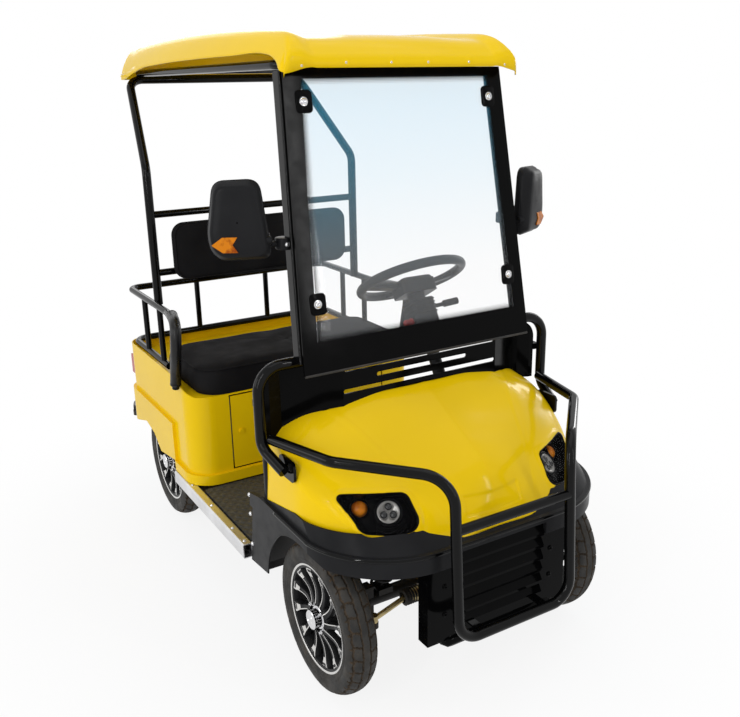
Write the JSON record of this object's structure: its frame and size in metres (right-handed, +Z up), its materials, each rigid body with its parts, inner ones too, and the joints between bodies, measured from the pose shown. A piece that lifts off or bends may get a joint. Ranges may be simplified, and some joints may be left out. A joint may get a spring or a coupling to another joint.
{
  "type": "golf cart",
  "caption": "Small open golf cart with a moulded front, bench seat, tube rails, windscreen, fixed roof and steerable front wheels.",
  "frame": {"origin": "on the ground under the middle of the whole cart", "axes": "+Z up, the cart faces -Y, +X is the cart's left side"},
  "size_m": [1.1486, 2.152, 1.8306],
  "materials": {
    "body_yellow": "gloss",
    "satin_grey_plastic": "satin",
    "black_plastic": "gloss",
    "black_tube": "gloss powder coat",
    "frame_steel": "matt powder coat",
    "axle_steel": "dull",
    "rod_steel": "yellow zinc plate",
    "tyre": "matt",
    "rim_alloy": "machined and black",
    "vinyl": "satin grain",
    "mat_rubber": "matt",
    "sill_aluminium": "satin",
    "clear_sheet": "clear",
    "screen_black": "gloss",
    "lamp_lens": "clear",
    "lamp_housing": "gloss",
    "tail_red": "gloss",
    "battery_case": "matt",
    "grip_foam": "matt"
  },
  "bodies": {
    "cart": {"backrest_pad": "vinyl", "battery_pack": "battery_case", "chassis_frame": "frame_steel", "control_stalk": "satin_grey_plastic", "cowl": "body_yellow", "dash_shield": "black_plastic", "fascia": "satin_grey_plastic", "floor_mat": "mat_rubber", "floor_pan": "frame_steel", "front_axle": "axle_steel", "front_hoop": "black_tube", "grille": "black_plastic", "headlight_housings": "lamp_housing", "headlight_lenses": "lamp_lens", "mirrors": "satin_grey_plastic", "nudge_bar": "black_tube", "pedals": "mat_rubber", "pillars": "black_tube", "rear_axle": "axle_steel", "rear_body": "body_yellow", "rear_bumper": "black_tube", "roof_frame": "black_tube", "roof_hoop": "black_tube", "roof_panel": "body_yellow", "seat_cushion": "vinyl", "seat_rail": "black_tube", "sills": "sill_aluminium", "steering_column": "satin_grey_plastic", "steering_rack": "axle_steel", "suspension_struts": "frame_steel", "tail_lamps": "tail_red", "windscreen_border": "screen_black", "windscreen_pane": "clear_sheet"},
    "steering_wheel": {"steering_wheel": "satin_grey_plastic"},
    "rack": {"tie_rods": "rod_steel"},
    "knuckle_left": {"knuckle_left": "axle_steel"},
    "knuckle_right": {"knuckle_right": "axle_steel"},
    "wheel_front_left": {"tyre_front_left": "tyre", "rim_front_left": "rim_alloy"},
    "wheel_front_right": {"tyre_front_right": "tyre", "rim_front_right": "rim_alloy"},
    "wheel_rear_left": {"tyre_rear_left": "tyre", "rim_rear_left": "rim_alloy"},
    "wheel_rear_right": {"tyre_rear_right": "tyre", "rim_rear_right": "rim_alloy"},
    "battery_door": {"battery_door": "body_yellow"}
  },
  "joints": [
    {"name": "steering", "type": "hinge", "parent": "cart", "child": "steering_wheel", "pos_m": [0.23, -0.2, 1.03], "axis": [0, 0.5, 0.866], "range_deg": [-270, 270]},
    {"name": "rack", "type": "slide", "parent": "cart", "child": "rack", "axis": [1, 0, 0], "range_m": [-0.0455, 0.0455]},
    {"name": "knuckle_left", "type": "hinge", "parent": "cart", "child": "knuckle_left", "pos_m": [0.312, -0.712, 0.225], "axis": [0, 0, 1], "range_deg": [-28.2, 28.2]},
    {"name": "knuckle_right", "type": "hinge", "parent": "cart", "child": "knuckle_right", "pos_m": [-0.312, -0.712, 0.225], "axis": [0, 0, 1], "range_deg": [-28.2, 28.2]},
    {"name": "wheel_front_left", "type": "hinge", "parent": "knuckle_left", "child": "wheel_front_left", "pos_m": [0.403, -0.712, 0.225], "axis": [1, 0, 0], "continuous": true},
    {"name": "wheel_front_right", "type": "hinge", "parent": "knuckle_right", "child": "wheel_front_right", "pos_m": [-0.403, -0.712, 0.225], "axis": [1, 0, 0], "continuous": true},
    {"name": "wheel_rear_left", "type": "hinge", "parent": "cart", "child": "wheel_rear_left", "pos_m": [0.403, 0.572, 0.225], "axis": [1, 0, 0], "continuous": true},
    {"name": "wheel_rear_right", "type": "hinge", "parent": "cart", "child": "wheel_rear_right", "pos_m": [-0.403, 0.572, 0.225], "axis": [1, 0, 0], "continuous": true},
    {"name": "battery_door", "type": "hinge", "parent": "cart", "child": "battery_door", "pos_m": [0.311, 0.152, 0.467], "axis": [0, 0, 1], "range_deg": [0, 65]}
  ],
  "couplings": [
    {"joint": "rack", "follows": "steering", "m_per_rad": 0.009564},
    {"joint": "knuckle_left", "follows": "steering", "ratio": 0.1037},
    {"joint": "knuckle_right", "follows": "steering", "ratio": 0.1037}
  ]
}
